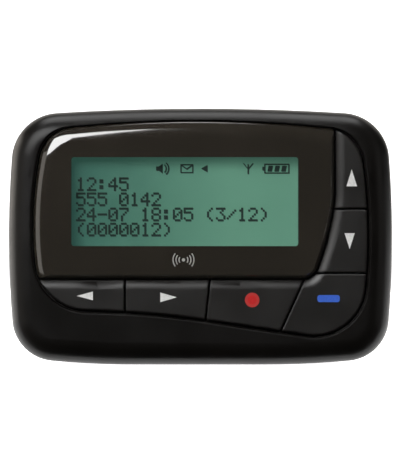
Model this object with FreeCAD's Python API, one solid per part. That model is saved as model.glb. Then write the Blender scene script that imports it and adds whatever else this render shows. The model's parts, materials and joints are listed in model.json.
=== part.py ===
"""A belt-worn text pager: a moulded two-half casing round a liquid-crystal display, six keys, two circuit
boards, a sounder, a vibrating motor and one AAA cell, with a sprung belt clip on its back.

Millimetres. +Z is up, +X is to the viewer's right and the display faces -Y. The origin lies on the flat that
the pager stands on, in the middle of its width. Y levels run from the face (about -10) to the back (+10),
and the belt clip stands behind the back.
"""

import FreeCAD
import Part
import math
import os

V = FreeCAD.Vector
OUT = "parts"

# ---- Driving dimensions ---------------------------------------------------------------------------------
WIDTH = 84.0
HEIGHT = 56.1
FACE_Y = -10.0  # front of the casing
BACK_Y = 10.0  # back of the casing
PARTING_Y = 1.5  # where the two casing halves meet
SIDE_R = 231.0  # the four sides bow gently outwards
SIDE_MIDDLE_Z = 28.0
TOP_R = 513.0
FOOT_R = 207.0
FOOT_FLAT = 14.0  # half the width of the flat that it stands on
TOP_CORNER_R = 10.5
FOOT_CORNER_R = 9.5
FACE_EDGE_R = 5.0
BACK_EDGE_R = 4.0
WALL = 1.6
CAVITY_FACE_Y = -7.4  # inside of the front wall
CAVITY_BACK_Y = BACK_Y - WALL

FIELD_SLIT = 0.2  # half the slit round the lens and the keys
KEY_SLIT = 0.22  # half the slit between two keys
LENS_SLIT = 0.5  # between the lens and the keys
RIM_BEVEL = 0.4  # round the opening in the face
LENS_Y = (-10.3, -8.5)
LENS_ROLL_R = 5.0  # its top and left edges roll off gently
LENS_ROLL_START = 1.6  # how far outside the field the roll would meet the panel's side
LEDGE_FACE_Y = -8.35  # the ledge that the lens is taped to
VIEW_BOX = (-28.1, 26.0, 21.25, 45.35)  # visible display: x0, z0, x1, z1
WINDOW_SLIT = 0.02  # between the clear window and the black panel

KEY_FACE_Y = -10.05
FLANGE_Y = (-7.35, -6.55)
FLANGE_REACH = 0.8

BOARD_Y = (-3.7, -2.7)
RECEIVER_Y = (2.2, 3.0)

CELL_R = 5.1  # over the jacket
CELL_JACKET = 0.1
CELL_LENGTH = 44.5
CELL_NUB = 1.0
CELL_Y = 3.6
CELL_Z = 9.6
CELL_X = -9.6  # flat end of the cell
BAY_X = (-14.0, 35.5)
BAY_Z = (4.2, 15.0)
BAY_FLOOR_Y = -1.65
BAY_WALL = 0.9

DOOR_X0 = -14.8
DOOR_Z = (3.6, 15.6)
DOOR_SIDE_Y = 5.5  # how far the door wraps round the side
DOOR_THICK = 1.0
DOOR_GAP = 0.15
TONGUE_Y = (8.25, 8.9)
TONGUE_REACH = 0.8

LOCK_X = 18.0
LOCK_THUMB_Z = (20.2, 24.8)
LOCK_BOLT_Y = (8.42, 8.86)
LOCK_BOLT_TIP_Z = 16.8  # unlocked; the lock slides down by 1.8
LOCK_STEM_HALF = 1.4

LIP_DEPTH = 1.0  # the back half's tongue reaches this far into the front half
LIP_GAP = 0.05
SHADOW_LINE = 0.2  # a fine groove outside, where the halves meet

SCREWS = [(-37.6, 44.0), (37.6, 44.0), (-37.2, 16.5), (-17.3, 5.6)]
BOSS_R = 1.8
HEAD_SEAT_Y = 6.6
SCREW_HEAD_R = 1.6
SCREW_HEAD_H = 1.1
SCREW_SHANK_R = 0.72
SCREW_END_Y = -4.0
SCREW_PILOT_R = 0.75
WELL_R = 1.85
BOARD_POSTS = [(-35.6, 30.0, 1.8), (26.9, 44.5, 1.4), (-7.0, 20.65, 1.2)]  # x, z, radius
SPACERS = [(-25.0, 22.5), (-25.0, 47.0), (12.5, 47.0)]
SMALL_PILOT_R = 0.55
SMALL_SHANK_R = 0.52
SMALL_CLEARANCE_R = 0.75

SOUNDER_XZ = (27.0, 38.0)
SOUNDER_R = 6.5

MOTOR_Y = 4.5
MOTOR_Z = 10.2
MOTOR_R = 3.0
MOTOR_X = (-30.4, -20.2)

CLIP_HALF_WIDTH = 9.0
CLIP_PIN_Y = 13.2
CLIP_PIN_Z = 44.5
CLIP_PIN_R = 0.8
CLIP_EAR_R = 1.6
CLIP_BARREL_R = 1.75
CLIP_SCREWS = [(-3.6, 41.0), (3.6, 41.0)]
RUNNING = 0.04  # radial clearance of a pin in its barrel


FAR = 60.0  # well outside the casing

# ---- Small tools ----------------------------------------------------------------------------------------
def box(x, y, z):
    """A block from three (low, high) pairs."""
    return Part.makeBox(x[1] - x[0], y[1] - y[0], z[1] - z[0], V(x[0], y[0], z[0]))


def rod_y(x, z, r, y):
    """A cylinder along Y between the two levels in y."""
    return Part.makeCylinder(r, y[1] - y[0], V(x, y[0], z), V(0, 1, 0))


def rod_x(x, y, z, r):
    """A cylinder along X between the two places in x."""
    return Part.makeCylinder(r, x[1] - x[0], V(x[0], y, z), V(1, 0, 0))


def face_of(path):
    """A face in the XZ plane from runs of 2 points (a line) or 3 points (an arc)."""
    edges = []
    for run in path:
        points = [V(x, 0, z) for x, z in run]
        if len(points) == 2:
            edges.append(Part.makeLine(*points))
        else:
            edges.append(Part.Arc(*points).toShape())
    return Part.Face(Part.Wire(edges))


def prism(face, y):
    """A flat face in the XZ plane, carried to y[0] and drawn out to y[1]."""
    moved = face.copy()
    moved.translate(V(0, y[0], 0))
    return moved.extrude(V(0, y[1] - y[0], 0))


def grow(face, distance):
    """The face with its outline moved out (or in, if negative)."""
    return face.makeOffset2D(distance) if distance else face.copy()


def edges_at(shape, y):
    """The edges that lie wholly at one Y level."""
    return [e for e in shape.Edges if abs(e.BoundBox.YMin - y) < 1e-4 and abs(e.BoundBox.YMax - y) < 1e-4]


def rounded_box(x, y, z, r):
    """A block whose four corners, seen along Y, are rounded."""
    block = box(x, y, z)
    along_y = [e for e in block.Edges if e.BoundBox.YLength > 0.9 * (y[1] - y[0])]
    return block.makeFillet(r, along_y)


def joined(*shapes):
    """One solid from several that touch."""
    whole = shapes[0]
    for other in shapes[1:]:
        whole = whole.fuse(other)
    return whole.removeSplitter()


def group(shapes):
    """Separate solids kept in one node."""
    return Part.makeCompound(list(shapes))


# ---- Outlines seen from the front -----------------------------------------------------------------------
def corner_centre(circle_a, circle_b, r, towards):
    """Where a corner of radius r sits inside two bowed sides, nearest to a point.

    A side is (centre, radius), and its radius is negative where it bows inwards.
    """
    (ax, az), ra = circle_a
    (bx, bz), rb = circle_b
    ra, rb = abs(ra - r), abs(rb - r)
    apart = math.hypot(bx - ax, bz - az)
    along = (apart**2 + ra**2 - rb**2) / (2 * apart)
    across = math.sqrt(ra**2 - along**2)
    ux, uz = (bx - ax) / apart, (bz - az) / apart
    found = [(ax + along * ux - k * across * uz, az + along * uz + k * across * ux) for k in (-1, 1)]
    return min(found, key=lambda c: math.hypot(c[0] - towards[0], c[1] - towards[1]))


def touching(circle, centre):
    """Where a corner with the given centre runs into a bowed side."""
    (cx, cz), r = circle
    share = abs(r) / math.hypot(centre[0] - cx, centre[1] - cz)
    return (cx + (centre[0] - cx) * share, cz + (centre[1] - cz) * share)


def arc_between(circle, a, b):
    """The run of three points from a to b on a circle."""
    (cx, cz), r = circle
    mx, mz = a[0] + b[0] - 2 * cx, a[1] + b[1] - 2 * cz
    share = abs(r) / math.hypot(mx, mz)
    return (a, (cx + mx * share, cz + mz * share), b)


def mirrored(run):
    """A run on the right, turned over to the left and drawn in the same sense."""
    return tuple((-x, z) for x, z in reversed(run))


def casing_outline():
    """Four gently bowed sides with a short flat underneath and rounded corners."""
    side = ((WIDTH / 2 - SIDE_R, SIDE_MIDDLE_Z), SIDE_R)
    top = ((0, HEIGHT - TOP_R), TOP_R)
    foot = ((FOOT_FLAT, FOOT_R), FOOT_R)
    top_corner = corner_centre(side, top, TOP_CORNER_R, (WIDTH / 2, HEIGHT))
    foot_corner = corner_centre(side, foot, FOOT_CORNER_R, (WIDTH / 2, 0))
    foot_end, side_low = touching(foot, foot_corner), touching(side, foot_corner)
    side_high, top_end = touching(side, top_corner), touching(top, top_corner)
    right = [
        arc_between(foot, (FOOT_FLAT, 0), foot_end),
        arc_between((foot_corner, FOOT_CORNER_R), foot_end, side_low),
        arc_between(side, side_low, side_high),
        arc_between((top_corner, TOP_CORNER_R), side_high, top_end),
    ]
    top_run = arc_between(top, top_end, (-top_end[0], top_end[1]))
    left = [mirrored(run) for run in reversed(right)]
    return face_of(right + [top_run] + left + [((-FOOT_FLAT, 0), (FOOT_FLAT, 0))])


def field_outline():
    """The one opening in the face that holds the lens and the L of keys, along the middle of its slit."""
    sides = [
        ((40.19, 30.67), 76.75),  # left
        ((-1.0, -214.0), 267.3),  # top
        ((-80.8, 28.2), 117.34),  # right
        ((-127.9, 791.5), 800.0),  # foot, rising to the right
        ((131.06, 799.2), 800.0),  # foot, falling to the right
        ((-28.64, -200.05), -211.94),  # foot at the left, bowed upwards
    ]
    corners = [
        (-33.7, 51.3, 7.9),
        (34.3, 51.0, 8.8),
        (34.8, 8.3, 11.2),
        (24.4, 6.2, 10.0),
        (0, 9.95, 0),
        (-34.2, 11.8, 11.5),
    ]
    centres = [
        corner_centre(sides[i], sides[(i + 1) % len(sides)], r, (x, z)) for i, (x, z, r) in enumerate(corners)
    ]
    runs = []
    for i, side in enumerate(sides):
        start, end = touching(side, centres[i - 1]), touching(side, centres[i])
        runs.append(arc_between(side, start, end))
        if corners[i][2]:
            next_start = touching(sides[(i + 1) % len(sides)], centres[i])
            runs.append(arc_between((centres[i], corners[i][2]), end, next_start))
    return face_of(runs)


LENS_FOOT_Z = 19.1
LENS_SIDE_X = 28.95
LENS_CORNER_R = 3.0
LENS_BEND_R = 15.0
STRAIGHT = 20000.0  # the radius of a side that is straight to the eye


def lens_corner():
    """All that lies above the foot of the lens and left of its side."""
    foot = ((0, LENS_FOOT_Z + STRAIGHT), STRAIGHT)
    slant = ((-37.2, 44.65), 66.7)
    side = ((LENS_SIDE_X - STRAIGHT, 40.0), STRAIGHT)
    corner = corner_centre(foot, slant, LENS_CORNER_R, (24.4, LENS_FOOT_Z))
    bend = corner_centre(slant, side, LENS_BEND_R, (LENS_SIDE_X, 36.2))
    foot_start, foot_end = touching(foot, (-FAR, LENS_FOOT_Z)), touching(foot, corner)
    slant_start, slant_end = touching(slant, corner), touching(slant, bend)
    side_start, side_end = touching(side, bend), touching(side, (LENS_SIDE_X, FAR))
    outside = (-FAR, FAR)
    return face_of(
        [
            arc_between(foot, foot_start, foot_end),
            arc_between((corner, LENS_CORNER_R), foot_end, slant_start),
            arc_between(slant, slant_start, slant_end),
            arc_between((bend, LENS_BEND_R), slant_end, side_start),
            arc_between(side, side_start, side_end),
            (side_end, outside),
            (outside, foot_start),
        ]
    )


# Slits between neighbouring keys: two points of each slit's middle line, past the field at both ends.
SLIT_LEFT_RIGHT = ((-16.45, 22.0), (-16.45, 5.0))
SLIT_RIGHT_SELECT = ((2.4, 22.05), (0.62, 5.0))
SLIT_SELECT_CLEAR = ((24.05, 22.0), (16.31, 5.0))
SLIT_CLEAR_DOWN = ((20.0, 20.1), (40.0, 20.1))
SLIT_DOWN_UP = ((20.0, 34.07), (40.0, 34.07))

CASING = casing_outline()
FIELD = field_outline()
LENS_CORNER = lens_corner()


def casing_body(inset, y):
    """The casing's rounded block, taken in all round by inset, between two Y levels."""
    block = prism(grow(CASING, -inset), y)
    front_r = FACE_EDGE_R - inset
    back_r = BACK_EDGE_R - inset
    block = block.makeFillet(front_r, edges_at(block, y[0]))
    return block.makeFillet(back_r, edges_at(block, y[1]))


OUTER = casing_body(0, (FACE_Y, BACK_Y))
CAVITY = casing_body(WALL, (CAVITY_FACE_Y, CAVITY_BACK_Y))
INNER_ROOM = casing_body(WALL + 0.25, (CAVITY_FACE_Y, CAVITY_BACK_Y))  # what inner pieces stay inside
BOSS_LIMIT = casing_body(WALL / 2, (FACE_Y + WALL / 2, BACK_Y - WALL / 2))


def slab(y):
    """Everything between two Y levels."""
    return box((-60, 60), y, (-20, 80))


def ring(outer_inset, inner_inset, y):
    """The band between two insets of the casing's outline."""
    return prism(grow(CASING, -outer_inset), y).cut(prism(grow(CASING, -inner_inset), y))


# ---- Casing ---------------------------------------------------------------------------------------------
def front_casing():
    """Front half: a rounded tray with the field cut in its face, a ledge for the lens and four bosses."""
    shell = OUTER.common(slab((FACE_Y - 1, PARTING_Y))).cut(CAVITY)
    # The opening stops at the ledge behind the lens and goes right through under the keys.
    opening = grow(FIELD, FIELD_SLIT)
    ledge = prism(grow(LENS_CORNER, 0.1), (LEDGE_FACE_Y, CAVITY_FACE_Y + 1))
    shell = shell.cut(prism(opening, (FACE_Y - 1, CAVITY_FACE_Y + 1)).cut(ledge))
    bevel_foot_y = FACE_Y + RIM_BEVEL
    bevel = prism(grow(FIELD, FIELD_SLIT + RIM_BEVEL), (FACE_Y - 1, bevel_foot_y))
    shell = shell.cut(bevel.makeChamfer(RIM_BEVEL - 0.05, edges_at(bevel, bevel_foot_y)))
    x0, z0, x1, z1 = spread(VIEW_BOX, 0.5)
    shell = shell.cut(box((x0, x1), (-9, -6), (z0, z1)))
    for x, z in SCREWS:
        boss = rod_y(x, z, BOSS_R, (CAVITY_FACE_Y, PARTING_Y)).common(BOSS_LIMIT)
        shell = shell.fuse(boss).cut(rod_y(x, z, SCREW_PILOT_R, (SCREW_END_Y - 1, PARTING_Y + 1)))
    for x, z, r in BOARD_POSTS:
        shell = shell.fuse(rod_y(x, z, r, (CAVITY_FACE_Y, BOARD_Y[0])))
        shell = shell.cut(rod_y(x, z, SMALL_PILOT_R, (CAVITY_FACE_Y + 0.6, 0)))
    # Rabbet inside the rim for the back half's tongue, and a fine shadow line outside.
    rabbet_y = (PARTING_Y - LIP_DEPTH - LIP_GAP, PARTING_Y + 1)
    shell = shell.cut(ring(WALL / 2 - LIP_GAP, WALL + 0.5, rabbet_y))
    shell = shell.cut(ring(-1.0, SHADOW_LINE, (PARTING_Y - SHADOW_LINE, PARTING_Y + 1)))
    return shell.removeSplitter()


def door_opening():
    """The room that the battery door needs in the back and the side, with clearance."""
    g = DOOR_GAP
    return box((DOOR_X0 - g, FAR), (DOOR_SIDE_Y - g, 20), (DOOR_Z[0] - g, DOOR_Z[1] + g))


def tongue_grooves():
    """The grooves that the door's tongues slide in, as one straight sweep along X."""
    g = DOOR_GAP
    reach = TONGUE_REACH + g
    y = (TONGUE_Y[0] - g, TONGUE_Y[1] + g)
    return box((DOOR_X0 - g, FAR), y, (DOOR_Z[0] - reach, DOOR_Z[1] + reach))


def battery_trough():
    """The tray that the cell lies in, open to the back."""
    x = (BAY_X[0] - BAY_WALL, BAY_X[1] + BAY_WALL)
    outside = box(x, (BAY_FLOOR_Y - BAY_WALL, 8.7), (BAY_Z[0] - BAY_WALL, BAY_Z[1] + BAY_WALL))
    # Ribs above and below tie the tray to the back and to the foot of the casing.
    ribs = [
        box(x, (5.0, CAVITY_BACK_Y), (BAY_Z[1] + 0.1, 17.3)),
        box(x, (PARTING_Y + 0.3, CAVITY_BACK_Y), (1.0, BAY_Z[0] - 0.1)).common(CAVITY),
    ]
    inside = box(BAY_X, (BAY_FLOOR_Y, 20), BAY_Z)
    return joined(outside.common(INNER_ROOM), *ribs).cut(inside)


def sound_holes():
    """Seven small holes in a hexagon, over the sounder."""
    x, z = SOUNDER_XZ
    places = [(x, z)] + [
        (x + 2.6 * math.cos(math.radians(60 * k)), z + 2.6 * math.sin(math.radians(60 * k))) for k in range(6)
    ]
    return [rod_y(px, pz, 0.55, (CAVITY_BACK_Y - 1, BACK_Y + 1)) for px, pz in places]


def rear_casing():
    """Back half: tray, battery trough, door opening with grooves, lock pocket and screw wells."""
    shell = OUTER.common(slab((PARTING_Y, BACK_Y + 1))).cut(CAVITY)
    shell = shell.cut(ring(-1.0, SHADOW_LINE, (PARTING_Y - 1, PARTING_Y + SHADOW_LINE)))
    tongue = ring(WALL / 2 + LIP_GAP, WALL, (PARTING_Y - LIP_DEPTH + LIP_GAP, PARTING_Y + LIP_GAP))
    for x, z in SCREWS:
        shell = shell.fuse(rod_y(x, z, BOSS_R, (PARTING_Y, CAVITY_BACK_Y + 0.1)).common(BOSS_LIMIT))
        shell = shell.fuse(rod_y(x, z, 2.7, (HEAD_SEAT_Y - 1.2, CAVITY_BACK_Y + 0.1)).common(BOSS_LIMIT))
    shell = shell.cut(door_opening())
    shell = shell.fuse(tongue).fuse(battery_trough())
    shell = shell.cut(tongue_grooves())
    for x, z in CLIP_SCREWS:
        shell = shell.fuse(rod_y(x, z, 1.7, (5.2, CAVITY_BACK_Y + 0.1)))
        shell = shell.cut(rod_y(x, z, 0.65, (5.6, BACK_Y + 1)))
    for x, z in SCREWS:
        shell = shell.cut(rod_y(x, z, 0.95, (0, BACK_Y)))
        shell = shell.cut(rod_y(x, z, WELL_R, (HEAD_SEAT_Y, BACK_Y + 1)))
    for hole in sound_holes():
        shell = shell.cut(hole)
    # Lock: a pocket for the thumb piece, a slot for its stem and a channel for its bolt.
    shell = shell.cut(rounded_box((LOCK_X - 5.0, LOCK_X + 5.0), (9.2, 12), (18.0, 25.2), 1.2))
    shell = shell.cut(box((LOCK_X - 1.6, LOCK_X + 1.6), (8.9, 12), (18.4, 24.6)))
    shell = shell.cut(box((LOCK_X - 1.6, LOCK_X + 1.6), (8.0, 9.02), (16.0, 25.0)))
    # A shallow bed for the rear label.
    shell = shell.cut(rounded_box((-37.2, -12.8), (BACK_Y - 0.2, 12), (21.8, 35.2), 1.0))
    return shell.removeSplitter()


def case_screws():
    """Four pan-head screws that hold the halves together."""
    made = []
    head_top_y = HEAD_SEAT_Y + SCREW_HEAD_H
    cross_y = (HEAD_SEAT_Y + 0.5, head_top_y + 1)
    cross_long, cross_wide = 0.95, 0.2
    for x, z in SCREWS:
        head = rod_y(x, z, SCREW_HEAD_R, (HEAD_SEAT_Y, head_top_y))
        head = head.makeFillet(0.35, edges_at(head, head_top_y))
        cross = joined(
            box((x - cross_long, x + cross_long), cross_y, (z - cross_wide, z + cross_wide)),
            box((x - cross_wide, x + cross_wide), cross_y, (z - cross_long, z + cross_long)),
        )
        made.append(joined(head, rod_y(x, z, SCREW_SHANK_R, (SCREW_END_Y, HEAD_SEAT_Y))).cut(cross))
    return group(made)


def rear_label():
    return rounded_box((-37.0, -13.0), (BACK_Y - 0.18, BACK_Y - 0.03), (22.0, 35.0), 0.9)


# ---- Lens and display -----------------------------------------------------------------------------------
def lens_solid():
    """The whole panel: its top and left edges roll off, its foot and right side are bevelled."""
    pillow = prism(grow(FIELD, LENS_ROLL_START), (LENS_Y[0], 0))
    pillow = pillow.makeFillet(LENS_ROLL_R, edges_at(pillow, LENS_Y[0]))
    bevelled = prism(LENS_CORNER, (LENS_Y[0], 0))
    trim = [
        e for e in edges_at(bevelled, LENS_Y[0]) if e.BoundBox.ZMin < FAR - 1 and e.BoundBox.XMax > 0
    ]
    bevelled = bevelled.makeChamfer(0.6, trim)
    return prism(grow(FIELD, -FIELD_SLIT), LENS_Y).common(pillow).common(bevelled)


def window_block(y, grown=0.0):
    x0, z0, x1, z1 = VIEW_BOX
    return rounded_box((x0 - grown, x1 + grown), y, (z0 - grown, z1 + grown), 0.6)


def lens_bezel():
    """The glossy black panel round the window."""
    return lens_solid().cut(window_block((-12, 0)))


def display_window():
    """The clear window, flush in the black panel."""
    return window_block(LENS_Y, -WINDOW_SLIT)


def frame(outer, inner, y):
    """A rectangular ring: outer and inner are (x0, z0, x1, z1)."""
    return box((outer[0], outer[2]), y, (outer[1], outer[3])).cut(
        box((inner[0], inner[2]), (y[0] - 1, y[1] + 1), (inner[1], inner[3]))
    )


def spread(b, d):
    """A (x0, z0, x1, z1) box made bigger by d all round."""
    return (b[0] - d, b[1] - d, b[2] + d, b[3] + d)


GLASS_BOX = (-30.4, 23.4, 23.6, 47.9)
REAR_GLASS_FOOT_Z = 25.6


def lens_adhesive():
    """Die-cut tape between the lens and its ledge."""
    hole = spread(VIEW_BOX, 1.0)
    tape = prism(grow(FIELD, -0.8), (LENS_Y[1], LEDGE_FACE_Y))
    tape = tape.common(prism(grow(LENS_CORNER, -0.6), (-12, 0)))
    return tape.cut(box((hole[0], hole[2]), (-9, -8), (hole[1], hole[3])))


def lcd_gasket():
    """Foam frame that keeps dust out from between the window and the display."""
    return frame(spread(GLASS_BOX, -0.2), spread(VIEW_BOX, 1.3), (-7.38, -7.02))


def lcd_parts():
    """The display sandwich, front to back."""
    polariser = spread(VIEW_BOX, 1.0)
    x, z = (GLASS_BOX[0], GLASS_BOX[2]), (GLASS_BOX[1], GLASS_BOX[3])
    rear_z = (REAR_GLASS_FOOT_Z, GLASS_BOX[3])
    px, pz = (polariser[0], polariser[2]), (polariser[1], polariser[3])
    return {
        "lcd_front_polariser": box(px, (-7.2, -7.0), (pz[0], pz[1])),
        "lcd_front_glass": box(x, (-7.0, -6.3), z),
        "lcd_rear_glass": box(x, (-6.3, -5.6), rear_z),
        "lcd_reflector": box(px, (-5.6, -5.4), (rear_z[0] + 0.4, pz[1])),
        "backlight_guide": rounded_box((-29.5, 21.5), (-5.4, -4.0), (26.2, 47.4), 0.5),
    }


def backlight_leds():
    """Three side-firing lamps beside the light guide."""
    lamps = []
    for z in (29.0, 36.6, 44.2):
        body = box((22.0, 23.5), (-5.2, BOARD_Y[0]), (z - 1.4, z + 1.4))
        lens = box((21.7, 22.0), (-5.0, -4.1), (z - 1.0, z + 1.0))
        lamps.append(joined(body, lens))
    return group(lamps)


def lcd_holder():
    """Plastic frame that keeps the display square on the board, with two snap feet."""
    ring_part = frame(spread(GLASS_BOX, 1.3), spread(GLASS_BOX, 0.15), (-7.3, BOARD_Y[0] - 0.05))
    for x in (-18.0, 12.0):
        ring_part = ring_part.cut(box((x - 2, x + 2), (-6, BOARD_Y[0]), (GLASS_BOX[3] + 0.6, 52)))
    return ring_part


def zebra_strip():
    """Striped rubber connector from the glass ledge to the board."""
    return box((-29.4, 22.0), (-6.3, BOARD_Y[0]), (23.7, 25.3))


# ---- Keys -----------------------------------------------------------------------------------------------
def side_of(slit, towards, clearance):
    """A big block beside a slit's centre line, kept clearance away, on the side of the point towards."""
    (ax, az), (bx, bz) = slit
    length = math.hypot(bx - ax, bz - az)
    ux, uz = (bx - ax) / length, (bz - az) / length
    nx, nz = -uz, ux
    if (towards[0] - ax) * nx + (towards[1] - az) * nz < 0:
        nx, nz = -nx, -nz
    reach = 120.0
    corners = [
        (ax - ux * reach + nx * clearance, az - uz * reach + nz * clearance),
        (bx + ux * reach + nx * clearance, bz + uz * reach + nz * clearance),
        (bx + ux * reach + nx * reach, bz + uz * reach + nz * reach),
        (ax - ux * reach + nx * reach, az - uz * reach + nz * reach),
    ]
    runs = [(corners[i], corners[(i + 1) % 4]) for i in range(4)]
    return prism(face_of(runs), (-20, 20))


KEYS = {
    "key_left": {"middle": (-26.0, 15.0), "slits": [SLIT_LEFT_RIGHT]},
    "key_right": {"middle": (-7.0, 15.0), "slits": [SLIT_LEFT_RIGHT, SLIT_RIGHT_SELECT]},
    "key_select": {"middle": (11.5, 14.0), "slits": [SLIT_RIGHT_SELECT, SLIT_SELECT_CLEAR]},
    "key_clear": {"middle": (28.0, 14.0), "slits": [SLIT_SELECT_CLEAR, SLIT_CLEAR_DOWN]},
    "key_down": {"middle": (32.0, 26.0), "slits": [SLIT_CLEAR_DOWN, SLIT_DOWN_UP]},
    "key_up": {"middle": (32.6, 41.0), "slits": [SLIT_DOWN_UP]},
}
KEY_EDGE_R = 0.4
KEY_ROLL_R = 3.0  # the edge beside the lens rolls off gently
KEY_ROLL_START = 1.0  # how far under the lens the roll would meet the key's side


def along_lens(edge):
    """Whether an edge runs along the lens."""
    middle = edge.valueAt((edge.FirstParameter + edge.LastParameter) / 2)
    return Part.Vertex(V(middle.x, 0, middle.z)).distToShape(LENS_CORNER)[0] < LENS_SLIT + 0.1


def all_caps():
    """The caps of all six keys before the slits between them are cut."""
    y = (KEY_FACE_Y, FLANGE_Y[0] + 0.1)
    field = prism(grow(FIELD, -FIELD_SLIT), y)
    field = field.makeFillet(KEY_EDGE_R, edges_at(field, KEY_FACE_Y))
    beside_lens = box((1 - FAR, FAR), (KEY_FACE_Y, 0), (-20, FAR - 1))
    beside_lens = beside_lens.cut(prism(grow(LENS_CORNER, LENS_SLIT - KEY_ROLL_START), (-20, 20)))
    along = [e for e in edges_at(beside_lens, KEY_FACE_Y) if along_lens(e)]
    beside_lens = beside_lens.makeFillet(KEY_ROLL_R, along)
    return field.common(beside_lens).cut(prism(grow(LENS_CORNER, LENS_SLIT), (-20, 20)))


def between_slits(block, name):
    """The part of a block that belongs to one key."""
    for slit in KEYS[name]["slits"]:
        block = block.common(side_of(slit, KEYS[name]["middle"], KEY_SLIT))
    return sorted(block.Solids, key=lambda s: s.Volume)[-1]


def clear_of_bosses(block):
    """The block with room cut round the casing's bosses and posts."""
    for x, z in SCREWS:
        block = block.cut(rod_y(x, z, BOSS_R + 0.4, (-12, 0)))
    for x, z, r in BOARD_POSTS:
        block = block.cut(rod_y(x, z, r + 0.3, (-12, 0)))
    return block


ALL_CAPS = all_caps()


def key(name):
    """One key: a cap, and a flange that stays behind the casing's wall."""
    flange = prism(grow(FIELD, FLANGE_REACH), FLANGE_Y).cut(prism(grow(LENS_CORNER, -0.6), (-20, 20)))
    flange = clear_of_bosses(flange.common(INNER_ROOM))
    return joined(between_slits(ALL_CAPS, name), between_slits(flange, name))


PAD_CENTRES = {
    "key_left": (-24.0, 15.2),
    "key_right": (-7.3, 14.8),
    "key_select": (11.3, 13.7),
    "key_clear": (27.5, 13.3),
    "key_down": (32.6, 26.6),
    "key_up": (32.6, 41.4),
}
DOME_R = 2.0
DOME_H = 0.35


def keypad_mat():
    """Silicone mat on the board: a web with a raised hollow pad and a plunger under each key."""
    web_y = (BOARD_Y[0] - 0.7, BOARD_Y[0])
    web = prism(grow(FIELD, 0.6), web_y).cut(prism(LENS_CORNER, (-20, 20))).common(INNER_ROOM)
    pad_r, hollow_r, plunger_r = 2.7, 2.1, 0.9
    top_y = FLANGE_Y[1] + 0.05
    mat = web
    for x, z in PAD_CENTRES.values():
        mat = mat.fuse(rod_y(x, z, pad_r, (top_y, BOARD_Y[0])))
    for x, z in PAD_CENTRES.values():
        hollow = rod_y(x, z, hollow_r, (top_y + 0.8, BOARD_Y[0] + 1))
        mat = mat.cut(hollow.cut(rod_y(x, z, plunger_r, (top_y, BOARD_Y[0] - DOME_H - 0.2))))
    return clear_of_bosses(mat).removeSplitter()


def snap_domes():
    """Six thin metal domes that click when a key is pressed."""
    sphere_r = (DOME_R**2 + DOME_H**2) / (2 * DOME_H)
    made = []
    for x, z in PAD_CENTRES.values():
        centre_y = BOARD_Y[0] - DOME_H + sphere_r
        cap = Part.makeSphere(sphere_r, V(x, centre_y, z))
        hollow = Part.makeSphere(sphere_r - 0.1, V(x, centre_y, z))
        dome = cap.cut(hollow).common(rod_y(x, z, DOME_R + 1, (BOARD_Y[0] - 1, BOARD_Y[0])))
        made.append(dome)
    return group(made)


# ---- Boards and what stands on them ---------------------------------------------------------------------
def main_board():
    """The main circuit board, notched round the casing's bosses."""
    board = prism(grow(CASING, -(WALL + 0.6)), BOARD_Y)
    for x, z in SCREWS:
        board = board.cut(rod_y(x, z, BOSS_R + 0.4, (-6, 0)))
    for x, z, _ in BOARD_POSTS:
        board = board.cut(rod_y(x, z, SMALL_CLEARANCE_R, (-6, 0)))
    return board


def chip(x, z, width, height, y, leads):
    """A flat package seen from behind: a body with rows of leads on its left and right sides."""
    low, high = y
    body = box((x - width / 2, x + width / 2), (low + 0.1, high), (z - height / 2, z + height / 2))
    parts = [body]
    end_gap, lead_reach, lead_thick, lead_half = 0.4, 0.9, 0.15, 0.14
    pitch = (height - 2 * end_gap) / (leads - 1)
    lead_x = (x - width / 2 - lead_reach, x + width / 2 + lead_reach)
    for k in range(leads):
        pz = z - height / 2 + end_gap + k * pitch
        parts.append(box(lead_x, (low, low + lead_thick), (pz - lead_half, pz + lead_half)))
    return joined(*parts)


def main_board_chips():
    y = BOARD_Y[1]
    return group(
        [
            chip(-22.0, 38.0, 12.0, 12.0, (y, y + 1.5), 14),
            chip(-4.0, 40.0, 8.0, 13.0, (y, y + 1.2), 12),
            chip(-6.0, 27.5, 5.4, 7.0, (y, y + 1.2), 6),
            rounded_box((6.0, 11.0), (y, y + 1.1), (35.0, 37.2), 0.6),
            chip(16.5, 42.0, 4.4, 5.4, (y, y + 1.2), 4),
        ]
    )


def small_screw(x, z, seat_y):
    """A slotted screw whose head sits on one Y level and faces the back."""
    head_r, head_h, slot_half, length = 1.1, 0.7, 0.15, 3.6
    head = rod_y(x, z, head_r, (seat_y, seat_y + head_h))
    slot = box((x - head_r, x + head_r), (seat_y + 0.4, seat_y + 1), (z - slot_half, z + slot_half))
    return joined(head.cut(slot), rod_y(x, z, SMALL_SHANK_R, (seat_y - length, seat_y)))


def main_board_screws():
    """Three screws from behind the board into the front casing's posts."""
    return group(small_screw(x, z, BOARD_Y[1]) for x, z, _ in BOARD_POSTS)


BACKUP_XZ = (27.0, 24.0)


def backup_cell():
    """Coin cell that keeps messages while the main cell is changed."""
    x, z = BACKUP_XZ
    can = rod_y(x, z, 6.0, (BOARD_Y[1] + 0.15, BOARD_Y[1] + 1.9))
    rim = can.makeFillet(0.3, edges_at(can, BOARD_Y[1] + 1.9))
    return joined(rim, rod_y(x, z, 5.2, (BOARD_Y[1], BOARD_Y[1] + 0.2)))


def backup_cell_clip():
    """Spring strap over the coin cell."""
    x, z = BACKUP_XZ
    top = BOARD_Y[1] + 1.9
    strap = box((x - 1.5, x + 1.5), (top, top + 0.25), (z - 7.2, z + 7.2))
    feet = [
        box((x - 1.5, x + 1.5), (BOARD_Y[1], top + 0.25), (z - 7.2, z - 6.95)),
        box((x - 1.5, x + 1.5), (BOARD_Y[1], top + 0.25), (z + 6.95, z + 7.2)),
    ]
    return joined(strap, *feet)


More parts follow.
